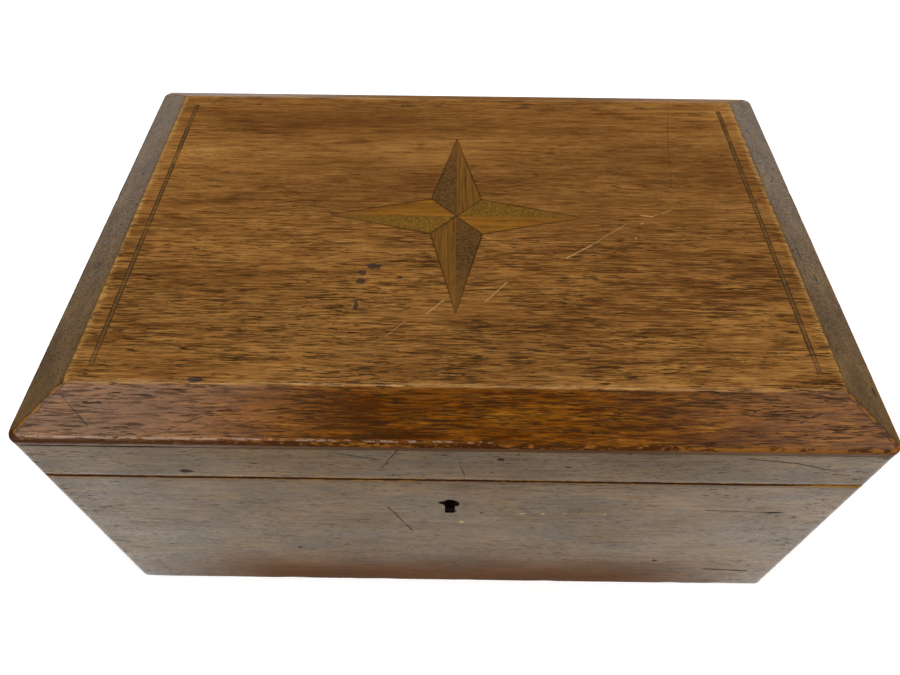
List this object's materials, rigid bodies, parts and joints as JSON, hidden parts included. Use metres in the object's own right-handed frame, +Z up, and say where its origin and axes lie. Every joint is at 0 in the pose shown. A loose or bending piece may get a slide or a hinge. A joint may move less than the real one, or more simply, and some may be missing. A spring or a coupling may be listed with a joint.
{
  "type": "inlaid wooden box",
  "caption": "Rectangular veneered wooden box with a hinged lid, bevelled top board, inlaid four-pointed star, string border and a small front lock.",
  "frame": {"origin": "centre of the base, on the surface that the box stands on", "axes": "+Z up, +X to the right as seen from the front, -Y towards the front with the keyhole"},
  "size_m": [0.3, 0.204, 0.1413],
  "materials": {
    "carcass_softwood": "bare planed softwood",
    "rim_mahogany": "old polished mahogany veneer, worn at the corners",
    "edging_mahogany": "thin mahogany strip, polished on its outer edge",
    "top_mahogany": "open-pored mahogany, polished, worn on the arrises",
    "star_dark_burr": "dark speckled burr veneer",
    "star_dark_stripe": "dark streaked veneer",
    "star_gold_burr": "golden speckled burr veneer",
    "star_gold_stripe": "golden streaked veneer",
    "string_light": "pale boxwood line, greyed with age",
    "string_dark": "black-stained line",
    "hinge_brass": "dull, lightly tarnished brass",
    "lock_brass": "dull, lightly tarnished brass",
    "lock_steel": "darkened steel"
  },
  "bodies": {
    "body": {"front_wall": "carcass_softwood", "back_wall": "carcass_softwood", "left_wall": "carcass_softwood", "right_wall": "carcass_softwood", "bottom_board": "carcass_softwood", "front_veneer": "rim_mahogany", "back_veneer": "rim_mahogany", "left_veneer": "rim_mahogany", "right_veneer": "rim_mahogany", "front_edging": "edging_mahogany", "back_edging": "edging_mahogany", "left_edging": "edging_mahogany", "right_edging": "edging_mahogany", "left_hinge_body_leaf": "hinge_brass", "right_hinge_body_leaf": "hinge_brass", "left_hinge_pin": "hinge_brass", "right_hinge_pin": "hinge_brass", "body_hinge_screws": "hinge_brass", "lock_plate": "lock_brass", "lock_cap": "lock_brass", "lock_screws": "lock_brass", "lock_spring": "lock_steel", "lock_key_pin": "lock_steel", "lock_stumps": "lock_steel", "bottom_brads": "lock_steel"},
    "bolt": {"lock_bolt": "lock_brass"},
    "lid": {"lid_front_rail": "carcass_softwood", "lid_back_rail": "carcass_softwood", "lid_left_rail": "carcass_softwood", "lid_right_rail": "carcass_softwood", "lid_front_veneer": "rim_mahogany", "lid_back_veneer": "rim_mahogany", "lid_left_veneer": "rim_mahogany", "lid_right_veneer": "rim_mahogany", "lid_front_edging": "edging_mahogany", "lid_back_edging": "edging_mahogany", "lid_left_edging": "edging_mahogany", "lid_right_edging": "edging_mahogany", "top_board": "top_mahogany", "star_north_left": "star_dark_burr", "star_south_right": "star_dark_burr", "star_north_right": "star_dark_stripe", "star_south_left": "star_dark_stripe", "star_west_front": "star_gold_burr", "star_east_back": "star_gold_burr", "star_west_back": "star_gold_stripe", "star_east_front": "star_gold_stripe", "string_light_front": "string_light", "string_light_back": "string_light", "string_light_left": "string_light", "string_light_right": "string_light", "string_dark_front": "string_dark", "string_dark_back": "string_dark", "string_dark_left": "string_dark", "string_dark_right": "string_dark", "left_hinge_lid_leaf": "hinge_brass", "right_hinge_lid_leaf": "hinge_brass", "lid_hinge_screws": "hinge_brass", "link_plate": "lock_brass", "link_plate_screws": "lock_brass"}
  },
  "joints": [
    {"name": "lid_hinge", "type": "hinge", "parent": "body", "child": "lid", "pos_m": [0, 0.0995, 0.10655], "axis": [-1, 0, 0], "range_deg": [0, 95]},
    {"name": "lock_bolt_slide", "type": "slide", "parent": "body", "child": "bolt", "axis": [1, 0, 0], "range_m": [0, 0.0045]}
  ]
}
